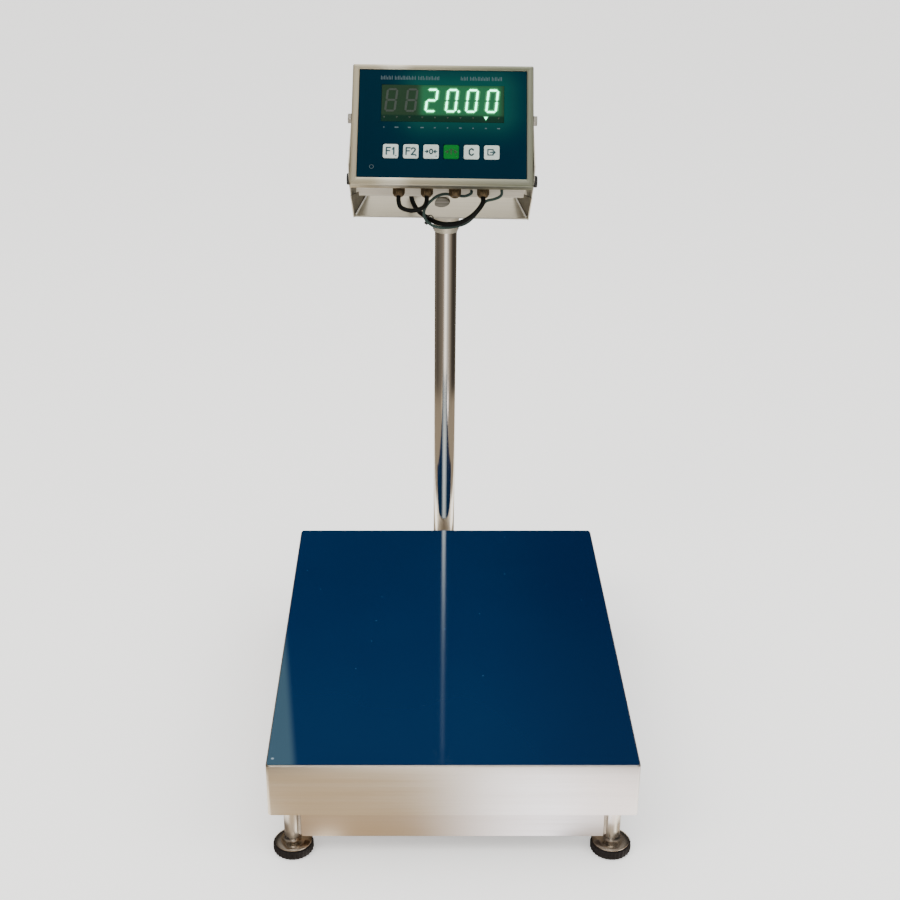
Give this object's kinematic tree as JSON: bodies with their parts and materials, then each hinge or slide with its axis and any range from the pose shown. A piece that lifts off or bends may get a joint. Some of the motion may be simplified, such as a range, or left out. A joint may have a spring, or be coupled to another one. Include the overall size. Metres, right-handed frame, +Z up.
{
  "type": "platform scale",
  "caption": "Stainless platform shipping scale: a load pan on a levelling base, a column behind it, and a tilting weight indicator with a keypad on a yoke.",
  "frame": {"origin": "on the floor, under the centre of the bounding box at rest", "axes": "+Z up; -Y towards the front, from the column to the pan's free end; +X to the right seen from the front"},
  "size_m": [0.45, 0.6782, 0.8551],
  "materials": {
    "stainless_sheet": "brushed",
    "polished_tube": "polished",
    "blue_film": "glossy",
    "load_cell_aluminium": "satin",
    "zinc_steel": "zinc plated",
    "black_rubber": "matt",
    "black_plastic": "matt",
    "navy_overlay": "satin",
    "tinted_window": "glossy, tinted",
    "circuit_board": "solder mask",
    "grey_key": "satin",
    "green_key": "satin",
    "nickel_brass": "nickel plated",
    "black_cable": "satin",
    "grey_cable": "satin"
  },
  "bodies": {
    "base": {"base_frame": "stainless_sheet", "load_cell": "load_cell_aluminium", "cell_spacer": "zinc_steel", "cell_cable": "black_cable", "column_socket": "stainless_sheet", "column_tube": "polished_tube", "spirit_level": "black_plastic", "leg_tube_front_left": "stainless_sheet", "leg_tube_front_right": "stainless_sheet", "leg_tube_rear_left": "stainless_sheet", "leg_tube_rear_right": "stainless_sheet"},
    "foot_front_left": {"foot_cap_front_left": "polished_tube", "foot_rubber_front_left": "black_rubber"},
    "stem_front_left": {"foot_stem_front_left": "zinc_steel"},
    "foot_front_right": {"foot_cap_front_right": "polished_tube", "foot_rubber_front_right": "black_rubber"},
    "stem_front_right": {"foot_stem_front_right": "zinc_steel"},
    "foot_rear_left": {"foot_cap_rear_left": "polished_tube", "foot_rubber_rear_left": "black_rubber"},
    "stem_rear_left": {"foot_stem_rear_left": "zinc_steel"},
    "foot_rear_right": {"foot_cap_rear_right": "polished_tube", "foot_rubber_rear_right": "black_rubber"},
    "stem_rear_right": {"foot_stem_rear_right": "zinc_steel"},
    "spider": {"load_frame": "stainless_sheet", "pan_pad_front_left": "black_rubber", "pan_pad_front_right": "black_rubber", "pan_pad_rear_left": "black_rubber", "pan_pad_rear_right": "black_rubber", "overload_stop_front_left": "zinc_steel", "overload_stop_front_right": "zinc_steel", "overload_stop_rear_left": "zinc_steel", "overload_stop_rear_right": "zinc_steel"},
    "pan": {"load_pan": "stainless_sheet", "pan_film": "blue_film"},
    "yoke": {"column_collar": "stainless_sheet", "head_bracket": "stainless_sheet", "indicator_cable": "black_cable"},
    "indicator": {"front_bezel": "stainless_sheet", "bezel_gasket": "black_rubber", "rear_shell": "stainless_sheet", "front_panel": "navy_overlay", "display_window": "tinted_window", "display_board": "circuit_board", "main_board": "circuit_board", "jumper_cable": "black_cable", "sensor_cable": "grey_cable", "pivot_bolt_left": "zinc_steel", "pivot_bolt_right": "zinc_steel", "cable_gland_1": "nickel_brass", "cable_gland_2": "nickel_brass", "cable_gland_3": "nickel_brass", "cable_gland_4": "nickel_brass"},
    "knob_left": {"lock_knob_left": "black_plastic"},
    "knob_right": {"lock_knob_right": "black_plastic"},
    "key_f1": {"key_f1": "grey_key"},
    "key_f2": {"key_f2": "grey_key"},
    "key_zero": {"key_zero": "grey_key"},
    "key_tare": {"key_tare": "green_key"},
    "key_clear": {"key_clear": "grey_key"},
    "key_print": {"key_print": "grey_key"}
  },
  "joints": [
    {"name": "foot_front_left_height", "type": "slide", "parent": "base", "child": "foot_front_left", "axis": [0, 0, 1], "range_m": [-0.01, 0.005]},
    {"name": "stem_front_left_turn", "type": "hinge", "parent": "foot_front_left", "child": "stem_front_left", "pos_m": [-0.197, -0.31388, 0.04], "axis": [0, 0, 1], "range_deg": [-2057.6, 1029.1]},
    {"name": "foot_front_right_height", "type": "slide", "parent": "base", "child": "foot_front_right", "axis": [0, 0, 1], "range_m": [-0.01, 0.005]},
    {"name": "stem_front_right_turn", "type": "hinge", "parent": "foot_front_right", "child": "stem_front_right", "pos_m": [0.197, -0.31388, 0.04], "axis": [0, 0, 1], "range_deg": [-2057.6, 1029.1]},
    {"name": "foot_rear_left_height", "type": "slide", "parent": "base", "child": "foot_rear_left", "axis": [0, 0, 1], "range_m": [-0.01, 0.005]},
    {"name": "stem_rear_left_turn", "type": "hinge", "parent": "foot_rear_left", "child": "stem_rear_left", "pos_m": [-0.197, 0.24613, 0.04], "axis": [0, 0, 1], "range_deg": [-2057.6, 1029.1]},
    {"name": "foot_rear_right_height", "type": "slide", "parent": "base", "child": "foot_rear_right", "axis": [0, 0, 1], "range_m": [-0.01, 0.005]},
    {"name": "stem_rear_right_turn", "type": "hinge", "parent": "foot_rear_right", "child": "stem_rear_right", "pos_m": [0.197, 0.24613, 0.04], "axis": [0, 0, 1], "range_deg": [-2057.6, 1029.1]},
    {"name": "load_deflection", "type": "slide", "parent": "base", "child": "spider", "axis": [0, 0, -1], "range_m": [0, 0.0003], "stiffness_N_per_m": 250000, "springref_m": -0.00032},
    {"name": "pan_lift", "type": "slide", "parent": "spider", "child": "pan", "axis": [0, 0, 1], "range_m": [0, 0.12]},
    {"name": "head_swivel", "type": "hinge", "parent": "base", "child": "yoke", "pos_m": [-0.0025, 0.30112, 0.63], "axis": [0, 0, 1], "range_deg": [-90, 90]},
    {"name": "head_tilt", "type": "hinge", "parent": "yoke", "child": "indicator", "pos_m": [-0.00899, 0.26063, 0.78007], "axis": [0.9998, -0.0175, -0.0105], "range_deg": [-20, 4], "deforming": ["indicator_cable"]},
    {"name": "knob_left_turn", "type": "hinge", "parent": "indicator", "child": "knob_left", "pos_m": [-0.13878, 0.19928, 0.71338], "axis": [-0.9998, 0.0175, 0.0105], "range_deg": [0, 270]},
    {"name": "knob_right_turn", "type": "hinge", "parent": "indicator", "child": "knob_right", "pos_m": [0.11716, 0.19481, 0.7107], "axis": [0.9998, -0.0175, -0.0105], "range_deg": [0, 270]},
    {"name": "key_f1_press", "type": "slide", "parent": "indicator", "child": "key_f1", "axis": [0.0066, 0.766, -0.6428], "range_m": [0, 0.0005], "stiffness_N_per_m": 1500},
    {"name": "key_f2_press", "type": "slide", "parent": "indicator", "child": "key_f2", "axis": [0.0066, 0.766, -0.6428], "range_m": [0, 0.0005], "stiffness_N_per_m": 1500},
    {"name": "key_zero_press", "type": "slide", "parent": "indicator", "child": "key_zero", "axis": [0.0066, 0.766, -0.6428], "range_m": [0, 0.0005], "stiffness_N_per_m": 1500},
    {"name": "key_tare_press", "type": "slide", "parent": "indicator", "child": "key_tare", "axis": [0.0066, 0.766, -0.6428], "range_m": [0, 0.0005], "stiffness_N_per_m": 1500},
    {"name": "key_clear_press", "type": "slide", "parent": "indicator", "child": "key_clear", "axis": [0.0066, 0.766, -0.6428], "range_m": [0, 0.0005], "stiffness_N_per_m": 1500},
    {"name": "key_print_press", "type": "slide", "parent": "indicator", "child": "key_print", "axis": [0.0066, 0.766, -0.6428], "range_m": [0, 0.0005], "stiffness_N_per_m": 1500}
  ],
  "couplings": [
    {"joint": "stem_front_left_turn", "follows": "foot_front_left_height", "rad_per_m": 3590.4},
    {"joint": "stem_front_right_turn", "follows": "foot_front_right_height", "rad_per_m": 3590.4},
    {"joint": "stem_rear_left_turn", "follows": "foot_rear_left_height", "rad_per_m": 3590.4},
    {"joint": "stem_rear_right_turn", "follows": "foot_rear_right_height", "rad_per_m": 3590.4}
  ]
}
